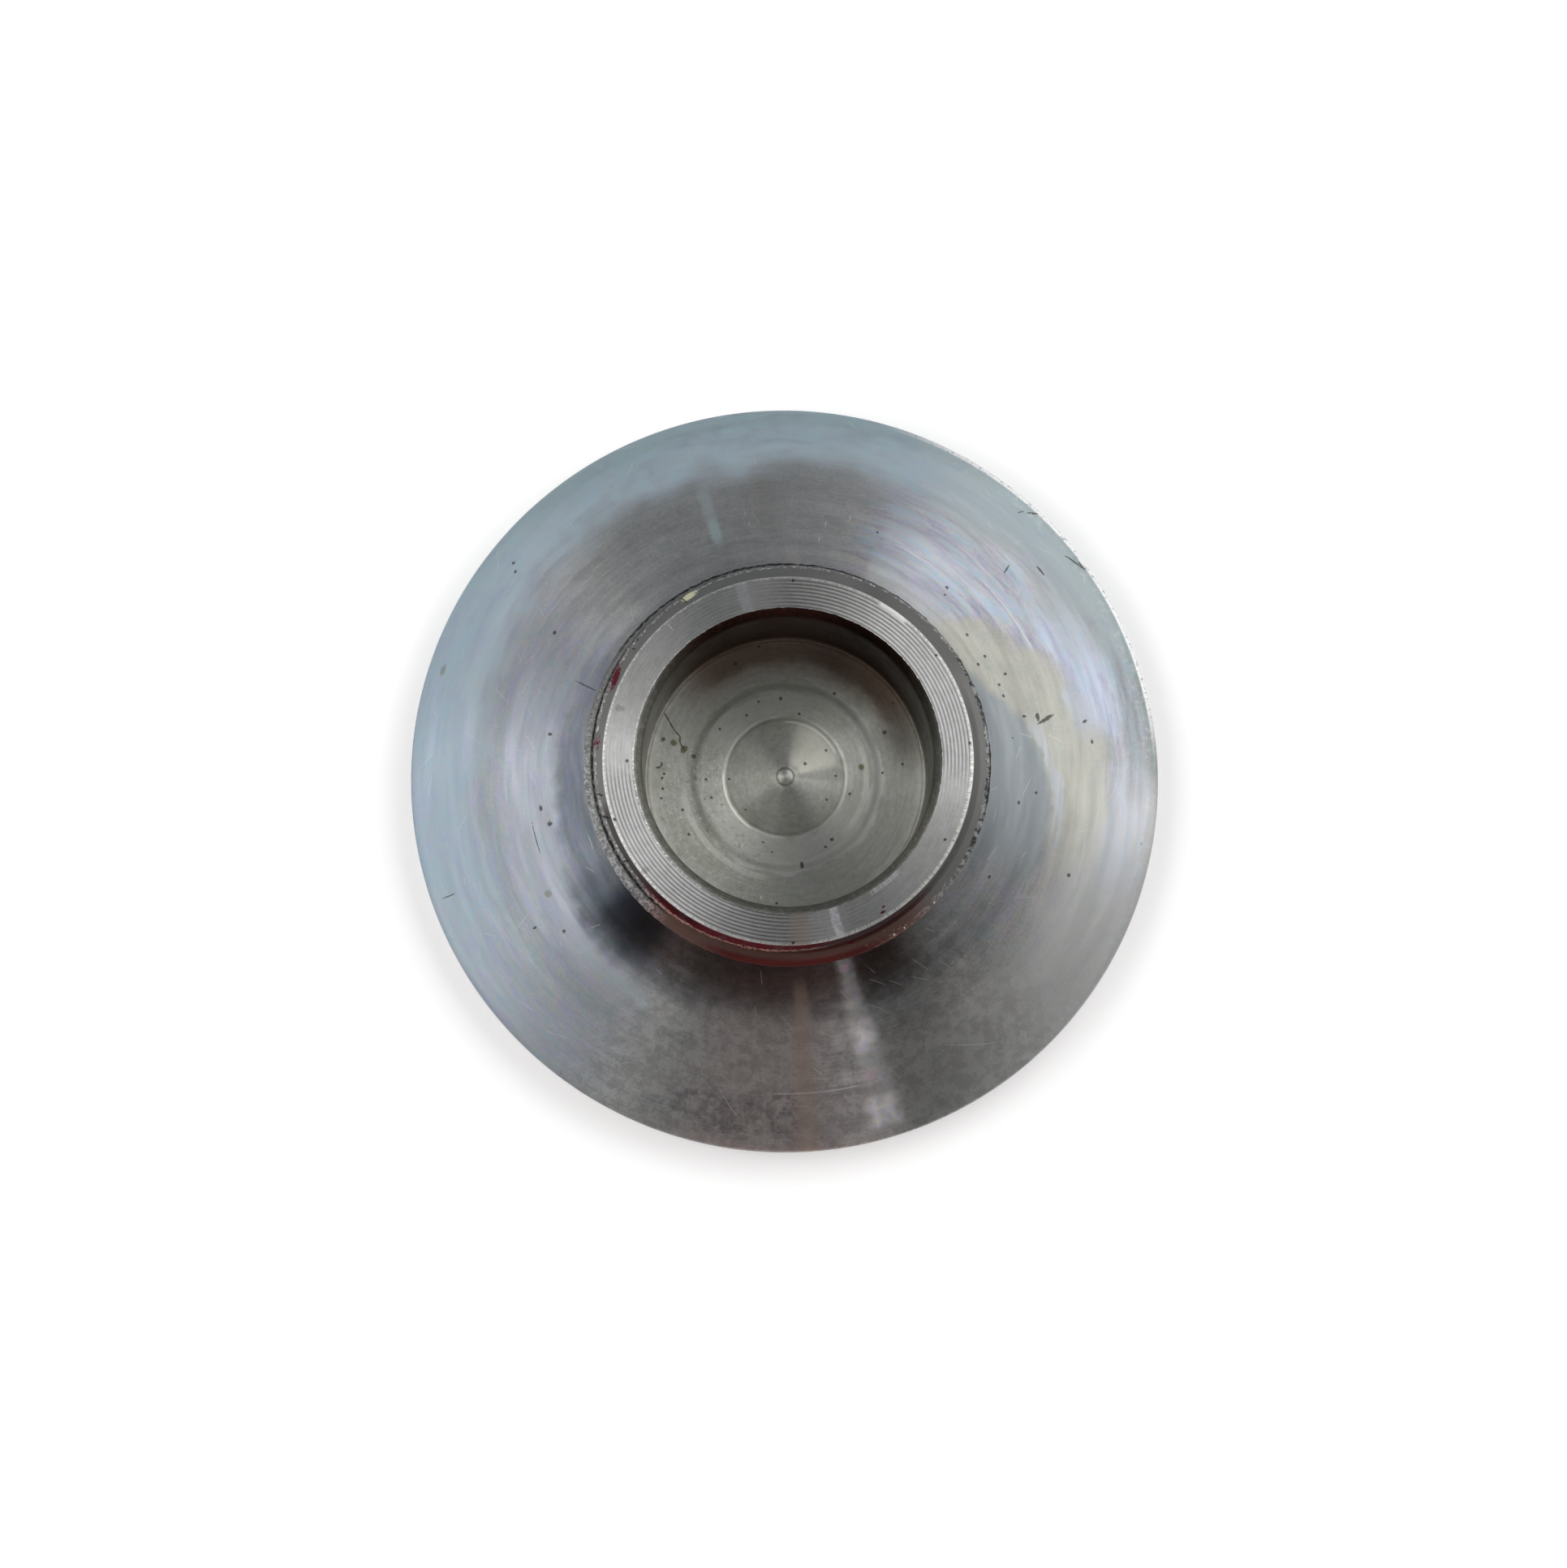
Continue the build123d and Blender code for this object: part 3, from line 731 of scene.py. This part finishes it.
def hub_finish():
    """Hub: facing lines on the top with painted shade in their grooves and painted highlights on its edges, a
    duller wall painted darker as shade, and thread whose groove has a painted black shadow under ragged lips
    painted bright, a painted red reflection on the south side, a little red paint and dirt."""
    f = Finish("hub_steel", (0.54, 0.54, 0.535), 0.38, 0.95)
    slope = f.math("SUBTRACT", f.radius, f.height)
    turning = f.place(TURNING, Around=f.around, Across=slope, Lines_per_mm=12.0, Broken=9.0)
    f.shade(f.ease(turning["Lines"], 0.4, 0.62), (0.88, 0.88, 0.88), 0.8)
    fine = f.noise(f.mm, 5.0, 3.0, 0.7)
    broken = f.ease(fine, 0.42, 0.58)
    wall = f.ease(f.height, HUB_HEIGHT - 0.1, HUB_HEIGHT - 0.05, 1.0, 0.0)
    top = f.math("SUBTRACT", 1.0, wall)

    feed = f.math("COSINE", f.times(f.math("SUBTRACT", f.radius, MOUTH_RADIUS), 2 * math.pi / FACING_FEED))
    cut = f.math("MAXIMUM", f.patch(-130, 40, 14, 0, 11.86, 0.06), f.patch(44, 42, 14, 0, 11.86, 0.06))
    # Painted light: the top face lighter around azimuth 66, standing for a brighter reflection there.
    f.stain(f.times(f.patch(66, 16, 14, 9.9, 11.95, 0.1), top), (0.72, 0.72, 0.7), 0.5)
    # Painted shade: the bottoms of the facing grooves darker on the two sides of the turn where the lines
    # show light and dark.
    f.shade(f.times(f.ease(feed, 0.4, -0.6), top, cut), (0.48, 0.48, 0.49), 0.9)
    f.shade(f.times(f.ease(f.noise(f.mm, 2.2, 5.0, 0.75), 0.4, 0.62), top), (0.86, 0.86, 0.86), 0.8)
    comb = f.ease(f.noise(f.vector("SCALE", f.around, scale=150.0), 1.0, 2.0), 0.45, 0.55)
    # Painted highlights: bright ragged lines along the top face's outer and inner edges, brightest in a few
    # places.
    edges = f.math("MAXIMUM", f.ring(11.92, 12.02, 0.04), f.ring(9.94, 10.03, 0.03))
    f.stain(f.times(edges, broken), (0.9, 0.9, 0.9), 0.7)
    f.stain(f.times(f.patch(-38, 37, 8, 11.84, 12.0, 0.05), comb), (1.0, 0.98, 0.88), 0.8)
    f.stain(f.patch(55, 4, 2, 11.8, 12.0, 0.05), (1.0, 1.0, 1.0), 0.9)
    f.stain(f.times(f.patch(-52, 5, 3, 10.05, 10.3, 0.06), comb), (1.0, 1.0, 1.0), 0.8)
    f.stain(f.times(f.patch(180, 55, 10, 10.0, 10.1, 0.05), comb, broken), (1.0, 1.0, 1.0), 0.8)
    ragged = f.waver(3.0, 0.5, 4.0)
    sparkle = f.ease(f.noise(f.mm, 3.0, 4.0, 0.75), 0.34, 0.6, 0.3, 1.0)
    rainbow = f.place(FILM, Value=f.noise(f.mm, 1.8, 2.0))["Tint"]
    # Painted highlights: the strip lamp's bright radial streak across the top face with film tints, and a
    # soft pale streak at azimuth 105.
    f.colour = f.mix(f.times(f.patch(-73.6, 0.9, 1.3, 9.9, 11.95, 0.1, ragged), top, sparkle), f.colour,
                     rainbow)
    f.stain(f.times(f.patch(105, 1.3, 1.2, 9.9, 11.95, 0.2, ragged), top), (0.75, 0.78, 0.8), 0.35)
    f.stain(f.times(f.patch(-86.5, 2, 2, 9.9, 11.95, 0.2, ragged), top), (0.5, 0.42, 0.34), 0.5)

    # Painted shade: the whole wall darker, standing for the dark surroundings it reflects, and darker still
    # on the south.
    f.shade(wall, (0.42, 0.42, 0.415), 1.0)
    f.shade(f.times(f.side(-98, 40, 16), wall), (0.75, 0.75, 0.75), 0.9)
    lead_in = f.times(f.ease(f.height, HUB_HEIGHT - 1.7, HUB_HEIGHT - 1.6), wall)
    degrees_down = f.math("WRAP", f.math("SUBTRACT", GROOVE_START, f.azimuth), 360.0, 0.0)
    turns_down = f.math("DIVIDE", degrees_down, 360.0)
    lip_start = LEAD_IN_RADIUS + (ROOT_RADIUS - LEAD_IN_RADIUS) / (1 + FLANK)
    lip_growth = PITCH * FLANK / (1 + FLANK)  # over one turn, where the V's upper side meets the lead-in
    lip_radius = f.math("ADD", lip_start, f.times(turns_down, lip_growth))
    rough = f.noise(f.mm, 2.6, 4.0, 0.75)
    shaken = f.math("ADD", f.radius, f.times(f.math("SUBTRACT", rough, 0.5), 0.3))
    past_lip = f.math("SUBTRACT", shaken, lip_radius)
    far_side = f.times(f.side(130, 96, 8), lead_in)
    flank = f.times(far_side, f.ease(past_lip, 0.2, 0.32))
    # Painted light: the groove's upward-facing lower flank lighter grey, with rough darker flecks.
    f.stain(f.times(flank, f.ease(fine, 0.4, 0.6)), (0.58, 0.59, 0.6), 0.7)
    f.shade(f.times(flank, f.ease(rough, 0.5, 0.42)), (0.6, 0.6, 0.6), 0.8)
    # Painted shadow: a ragged black line in the groove just outside its upper lip, where the lip shades it.
    groove_shadow = f.times(far_side, f.band(past_lip, 0.12, 0.06), f.ease(rough, 0.3, 0.54, 0.25, 1.0))
    f.stain(groove_shadow, (0.012, 0.012, 0.012), 0.92)
    # Painted highlight: the ragged burr along the groove's lip made light.
    burr = f.times(f.band(past_lip, -0.1, 0.05), f.ease(fine, 0.48, 0.6), f.ease(rough, 0.4, 0.56, 0.15, 1.0))
    f.stain(f.times(far_side, burr), (0.85, 0.85, 0.83), 0.75)
    outer = f.times(f.patch(-12, 54, 16, 13.02, 13.6, 0.08, ragged), wall)
    pitted = f.times(f.ease(rough, 0.52, 0.44), f.side(2, 24, 16))
    f.shade(f.times(outer, pitted), (0.16, 0.16, 0.16), 0.85)
    f.stain(f.times(outer, f.ease(rough, 0.48, 0.6)), (0.55, 0.55, 0.54), 0.6)
    # Painted shadow: a ragged black line at the crest's outer edge on the north and north-east, the shadow in
    # the gap between crest and flange.
    crest_shadow_line = f.times(f.patch(66, 74, 12, 13.2, 13.6, 0.04, f.waver(3.0, 0.2, 4.0)), wall)
    f.stain(f.times(crest_shadow_line, f.ease(rough, 0.36, 0.5, 0.6, 1.0)), (0.02, 0.02, 0.02), 0.85)
    f.stain(f.times(f.patch(126, 40, 14, 12.95, 13.14, 0.08, ragged), wall), (0.36, 0.36, 0.36), 0.4)
    # Painted shade: the lead-in darker on the east and south side.
    f.shade(f.times(f.patch(-50, 62, 20, 12.0, 12.4, 0.2), wall), (0.66, 0.66, 0.66), 0.9)

    # Painted reflection: on the south side of the wall, dark crimson in the groove under the lip, a dark red
    # band by the top face, a red band at the crest and a red tint on the flank, standing for a red
    # reflection; a thin light line at the lip is a painted highlight.
    near = f.times(f.side(-108, 24, 12), lead_in)
    red_reflection = f.times(near, f.ease(past_lip, -0.02, -0.06), f.ease(f.noise(f.mm, 1.6, 4.0, 0.6), 0.3, 0.55,
                                                                   0.5, 1.0))
    f.stain(red_reflection, (0.15, 0.01, 0.022), 0.88)
    f.stain(f.times(near, f.band(past_lip, 0.02, 0.025), f.ease(fine, 0.4, 0.55, 0.3, 1.0)), (0.8, 0.75, 0.7),
            0.7)
    f.stain(f.times(f.patch(-66, 16, 12, 12.05, 12.5, 0.1), wall), (0.075, 0.022, 0.024), 0.6)
    f.stain(f.times(f.patch(-88, 18, 14, 13.1, 13.4, 0.35), wall), (0.11, 0.012, 0.018), 0.75)
    f.shade(f.times(f.patch(-90, 34, 18, 12.4, 13.6, 0.1), wall), (1.0, 0.52, 0.44), 0.85)
    # Painted shade: the wall darker on the north-east.
    f.shade(f.times(f.patch(48, 14, 12, 12.0, 13.5, 0.2), wall), (0.72, 0.72, 0.72), 0.9)
    # Painted shadow: a dark band on the lead-in next to the top face's edge on the south-west.
    f.shade(f.times(f.patch(-142, 20, 8, 12.08, 12.34, 0.06), lead_in), (0.35, 0.3, 0.3), 0.85)
    paint = f.marks((-206, 12.5, 0.48, 1.7, 10), (-71, 12.5, 0.2, 0.35), (-57.3, 11.35, 0.12, 0.25),
                    (-58.3, 11.62, 0.2, 0.35))
    high = f.ease(f.height, HUB_HEIGHT - 1.45, HUB_HEIGHT - 1.3)
    paint = f.times(f.most([paint, f.times(f.marks((-185.5, 12.5, 0.5, 1.1)), broken)]), high)
    f.stain(paint, (0.13, 0.004, 0.022), 0.92)
    f.stain(f.times(f.marks((-239.2, 12.62, 0.46, 1.15, 4)), high), (0.95, 0.92, 0.66), 0.95)
    cuts = f.marks((-148, 12.4, 0.5, 0.14, -25), (-162.5, 12.4, 0.6, 0.16, -40),
                   (-169.5, 12.4, 0.5, 0.14, -35),
                   (-216, 12.45, 0.35, 0.1, 10), (-219, 12.65, 0.15, 0.15), (-237.2, 12.6, 0.8, 0.09, 12),
                   (-179.5, 10.45, 0.25, 0.25), (-271.5, 11.8, 0.2, 0.2), (-324.5, 11.85, 0.2, 0.2),
                   (-27, 11.4, 0.2, 0.2),
                   (-354.5, 11.85, 0.2, 0.2), (-88.5, 11.9, 0.2, 0.25), (-160.8, 11.9, 0.2, 0.3))
    f.stain(cuts, (0.03, 0.03, 0.03), 0.85)
    f.shade(f.marks((-197, 11.45, 0.7, 0.4), (-142, 11.7, 0.6, 0.4)), (0.6, 0.6, 0.6), 0.7)
    f.stain(f.marks((-228.5, 11.6, 0.6, 0.06), (-215.5, 12.85, 0.14, 0.14), (-44, 13.2, 0.14, 0.14),
                    (-55, 13.2, 0.14, 0.14), (-58.5, 13.2, 0.14, 0.14)), (1.0, 1.0, 1.0), 0.8)
    return f.done(roughness=f.ease(wall, 0.0, 1.0, 0.38, 0.5), bump=turning["Lines"], bump_mm=0.004)


def pocket_finish():
    """Pocket: greenish film on the floor, painted shade on the central cone, the wall and the floor beside it
    with red-brown on the north, specks, a dark hair and painted highlights in arcs along the tool's rings."""
    f = Finish("pocket_steel", (0.56, 0.565, 0.535), 0.44, 0.8)
    turning = f.place(TURNING, Around=f.around, Across=f.radius, Lines_per_mm=5.0, Broken=5.0)
    soft = f.waver(0.6, 1.2, 2.0)
    film = f.noise(f.mm, 0.6, 5.0, 0.65)
    wall = f.ease(f.height, POCKET_FLOOR + 0.2, POCKET_FLOOR + 0.8)
    f.shade(f.ease(turning["Lines"], 0.4, 0.62), (0.86, 0.86, 0.84), 0.8)
    f.shade(f.ease(film, 0.38, 0.62), (0.84, 0.85, 0.8), 0.8)
    f.shade(f.ease(f.noise(f.mm, 3.5, 3.0, 0.7), 0.42, 0.6), (0.88, 0.88, 0.86), 0.7)

    # Painted shade: the central cone darker on the north-east and west sides.
    f.shade(f.patch(22, 20, 14, 0.8, 3.6, 0.5, soft), (0.66, 0.66, 0.65), 0.85)
    f.shade(f.patch(-160, 34, 24, 0.8, 3.6, 0.5, soft), (0.7, 0.7, 0.69), 0.85)
    f.stain(f.patch(45, 26, 14, 1.2, 3.4, 0.7, soft), (0.85, 0.84, 0.74), 0.5)
    # Painted shade: the central cone darker on the south side.
    f.shade(f.patch(-100, 34, 24, 0.9, 3.6, 0.5, soft), (0.8, 0.8, 0.78), 0.85)
    f.stain(f.patch(-90, 50, 30, 4.3, 5.7, 0.3, soft), (0.7, 0.71, 0.68), 0.4)
    f.stain(f.patch(112, 30, 20, 4.3, 5.7, 0.3, soft), (0.7, 0.71, 0.68), 0.35)
    f.shade(f.patch(180, 38, 20, 6.0, 6.6, 0.2, soft), (0.86, 0.86, 0.84), 0.6)
    # Painted light: the step's slope lighter, where its tilt makes it reflect darker.
    f.stain(f.patch(-50, 66, 40, 5.95, 6.5, 0.25, soft), (0.78, 0.79, 0.76), 0.5)
    # Painted highlights: thin bright arcs on the flanks of the tool's rings on the floor, on the sides that
    # face the light.
    arcs = f.most([f.patch(-153.5, 26, 8, 4.16, 4.24, 0.06), f.patch(58, 28, 8, 3.7, 3.8, 0.06),
                   f.times(f.patch(-136, 28, 14, 6.85, 7.1, 0.16), 0.6),
                   f.times(f.patch(-7, 26, 14, 5.4, 5.6, 0.2), 0.6)])
    f.stain(arcs, (0.9, 0.9, 0.84), 0.6)
    f.shade(f.ring(3.94, 4.06, 0.08), (0.8, 0.8, 0.78), 0.7)
    # Painted shade: the floor darker next to the wall on the north and north-east, red-brown on the north.
    f.shade(f.patch(82, 40, 26, 8.6, 12, 2.2, soft), (0.62, 0.45, 0.39), 0.85)
    f.shade(f.patch(42, 22, 26, 8.2, 12, 1.8, soft), (0.48, 0.47, 0.46), 0.85)

    # Painted shade: the wall darker, most on the north and north-east with red-brown on the north, and the
    # floor's edge by the north wall darker too.
    f.shade(wall, (0.49, 0.48, 0.465), 0.85)
    f.shade(f.times(wall, f.patch(88, 46, 30, 9, 11, 1)), (0.4, 0.32, 0.31), 0.85)
    f.shade(f.times(wall, f.patch(24, 30, 24, 9, 11, 1)), (0.42, 0.43, 0.43), 0.85)
    f.shade(f.patch(72, 44, 30, 8.3, 9.6, 0.8, soft), (0.66, 0.6, 0.57), 0.85)
    # Painted shade: a dark line round the floor's corner.
    f.shade(f.ring(9.3, 9.46, 0.1), (0.6, 0.58, 0.56), 0.8)
    mouth = f.ease(f.height, HUB_HEIGHT - 0.6, HUB_HEIGHT - 0.4)
    f.shade(f.times(mouth, f.ease(f.noise(f.mm, 3.0, 3.0, 0.7), 0.3, 0.55)), (0.62, 0.61, 0.6), 0.8)
    # Painted shade: the mouth darker and red-brown on the north.
    f.shade(f.times(mouth, f.patch(88, 34, 14, 9, 11, 1)), (0.7, 0.46, 0.47), 0.8)
    specks = f.place(SPECK, Mm=f.mm, Spacing=0.9, Size=0.12, Share=0.1)["Mask"]
    hair = f.marks((153.2, 9.0, 0.9, 0.12, -32), (155.7, 8.45, 0.85, 0.12, -37), (158, 7.9, 0.8, 0.12, -27),
                   (160.5, 7.57, 0.6, 0.12, -69), (163.4, 7.3, 0.7, 0.12, -40))
    spots = f.marks((162.9, 8.65, 0.3, 0.3), (175.8, 8.6, 0.5, 0.14, 20), (174.3, 8.4, 0.16, 0.4),
                    (178.8, 8.2, 0.2, 0.2),
                    (-179.3, 8.33, 0.2, 0.2), (-174.4, 8.33, 0.2, 0.2), (-170, 8.5, 0.22, 0.2),
                    (-177.9, 5.37, 0.2, 0.2),
                    (-163.8, 5.2, 0.2, 0.2), (-177.4, 3.8, 0.2, 0.2), (143.7, 5.5, 0.2, 0.2),
                    (122, 4.94, 0.2, 0.2),
                    (93.3, 5.35, 0.25, 0.25), (77.5, 4.4, 0.2, 0.2), (59.7, 6.6, 0.22, 0.2),
                    (34.7, 8.9, 0.2, 0.2),
                    (24.3, 7.4, 0.35, 0.3), (33.4, 3.3, 0.2, 0.2), (33.6, 1.6, 0.25, 0.25),
                    (1, 3.4, 0.2, 0.2),
                    (2.5, 6.6, 0.2, 0.2), (6.4, 8, 0.2, 0.2), (-14.9, 4.5, 0.2, 0.2), (-28.9, 3.2, 0.2, 0.2),
                    (-53.6, 5.3, 0.25, 0.25), (-79.4, 6.1, 0.5, 0.25), (-108.6, 4.7, 0.1, 0.35),
                    (-162, 7.3, 0.2, 0.2),
                    (-148.8, 7.6, 0.2, 0.2), (-93.9, 8.6, 0.2, 0.2))
    grit = f.patch(-152, 40, 20, 4.4, 8.6, 0.5, soft)
    f.stain(f.times(grit, f.ease(f.noise(f.mm, 3.0, 4.0, 0.75), 0.56, 0.64)), (0.85, 0.84, 0.76), 0.4)
    f.shade(f.times(grit, f.ease(f.noise(f.mm, 2.2, 4.0, 0.8), 0.44, 0.36)), (0.62, 0.6, 0.54), 0.7)
    f.stain(f.most([specks, spots]), (0.06, 0.055, 0.04), 0.8)
    f.stain(hair, (0.1, 0.09, 0.035), 0.85)
    f.stain(f.marks((164.7, 7.1, 0.5, 0.5), (167.4, 6.35, 0.35, 0.35), (7.4, 5.2, 0.4, 0.4),
                    (113.6, 8.46, 0.3, 0.3),
                    (163, 7.9, 0.5, 0.4)), (0.11, 0.095, 0.03), 0.75)
    f.stain(f.marks((-101.3, 8.34, 0.35, 0.1)), (1.0, 1.0, 0.95), 0.7)
    return f.done(roughness=f.ease(film, 0.38, 0.62, 0.4, 0.48), bump=turning["Lines"], bump_mm=0.006)


def seal_finish():
    """Sealing face and rim edge: plain fine turning."""
    f = Finish("seal_steel", (0.47, 0.47, 0.465), 0.38, 0.85)
    slope = f.math("SUBTRACT", f.radius, f.height)
    turning = f.place(TURNING, Around=f.around, Across=slope, Lines_per_mm=8.0, Broken=3.0)
    f.shade(f.ease(turning["Lines"], 0.35, 0.65), (0.88, 0.88, 0.88), 0.8)
    f.shade(f.ease(turning["Bands"], 0.4, 0.65), (0.9, 0.91, 0.93), 0.6)
    return f.done(bump=turning["Lines"], bump_mm=0.004)


for material in (flange_finish(), hub_finish(), pocket_finish(), seal_finish()):
    mesh.materials.append(material)

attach(cap, "root")
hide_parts("end_cap")


CAMERA_DISTANCE = 220
CAMERA_LEAN = 6.87
CAMERA_SIDE = -99.8
CAMERA_SHIFT = (-0.13, -0.54)  # of the point it looks at, off the turning axis
CAMERA_LENS = 74.83


def place_camera():
    """Camera that looks at the middle of the rim's upper edge from CAMERA_DISTANCE, leaning
    CAMERA_LEAN degrees off the turning axis towards the azimuth CAMERA_SIDE."""
    lean, side = math.radians(CAMERA_LEAN), math.radians(CAMERA_SIDE)
    back = Vector((math.sin(lean) * math.cos(side), math.sin(lean) * math.sin(side), math.cos(lean)))
    right = Vector((0, 1, 0)).cross(back).normalized()
    up = back.cross(right)
    spot = Vector((*CAMERA_SHIFT, RIM_THICKNESS)) + CAMERA_DISTANCE * back
    data = bpy.data.cameras.new("camera")
    data.lens, data.sensor_width = CAMERA_LENS, 36
    data.clip_start, data.clip_end = 0.01, 20
    camera = bpy.data.objects.new("camera", data)
    bpy.context.scene.collection.objects.link(camera)
    camera.matrix_world = Matrix.Translation(spot * MM) @ Matrix((right, up, back)).transposed().to_4x4()
    bpy.context.scene.camera = camera


place_camera()


def soft_box(name, azimuth, elevation, distance, width, height, power, colour=(1, 1, 1)):
    """Rectangular lamp that faces the cap from a direction given in degrees."""
    a, e = math.radians(azimuth), math.radians(elevation)
    towards = Vector((math.cos(e) * math.cos(a), math.cos(e) * math.sin(a), math.sin(e)))
    data = bpy.data.lights.new(name, "AREA")
    data.shape = "RECTANGLE"
    data.size, data.size_y = width, height
    data.energy, data.color = power, colour
    lamp = bpy.data.objects.new(name, data)
    bpy.context.scene.collection.objects.link(lamp)
    lamp.location = towards * distance
    lamp.rotation_euler = towards.to_track_quat("Z", "Y").to_euler()


soft_box("east_box", 30, 48, 0.7, 0.7, 0.5, 2.5)
soft_box("south_east_box", -32, 48, 0.7, 0.3, 0.4, 0.24)
soft_box("south_box", -105, 46, 0.7, 0.4, 0.4, 0.12)
soft_box("west_box", -175, 48, 0.7, 0.4, 0.5, 1.3)
soft_box("south_west_box", -138, 46, 0.7, 0.34, 0.4, 0.42)
soft_box("north_west_box", 148, 45, 0.7, 0.4, 0.4, 0.66)
soft_box("north_box", 100, 40, 0.7, 0.6, 0.4, 0.42, (0.86, 0.94, 1.0))
soft_box("strip_lamp", -73, 52, 0.7, 0.012, 0.06, 0.09)
soft_box("warm_card", -90, 14, 0.5, 0.3, 0.14, 0.12, (1.0, 0.42, 0.34))

world = bpy.data.worlds.new("studio")
bpy.context.scene.world = world
world.use_nodes = True
world.node_tree.nodes["Background"].inputs["Color"].default_value = (0.13, 0.128, 0.126, 1)
world.node_tree.nodes["Background"].inputs["Strength"].default_value = 1.0


def white_floor():
    """Large white floor that keeps the cap's shadow, with a little light of its own where it is seen."""
    paper = bpy.data.meshes.new("floor")
    paper.from_pydata([(-4, -4, -2e-5), (4, -4, -2e-5), (4, 4, -2e-5), (-4, 4, -2e-5)], [], [(0, 1, 2, 3)])
    material = bpy.data.materials.new("white_paper")
    material.use_nodes = True
    w = Wiring(material.node_tree)
    shader = w.nodes["Principled BSDF"]
    shader.inputs["Base Color"].default_value = (0.95, 0.95, 0.95, 1)
    shader.inputs["Roughness"].default_value = 0.9
    shader.inputs["Specular IOR Level"].default_value = 0.0
    path = w.put("LightPath").outputs
    seen = w.most([path["Is Camera Ray"], path["Is Glossy Ray"], path["Is Transmission Ray"]])
    shader.inputs["Emission Color"].default_value = (1, 1, 1, 1)
    w.feed(shader.inputs["Emission Strength"], w.math("MULTIPLY", seen, 0.25))
    paper.materials.append(material)
    floor = bpy.data.objects.new("floor", paper)
    bpy.context.scene.collection.objects.link(floor)


white_floor()

bpy.context.scene.view_settings.view_transform = "Standard"
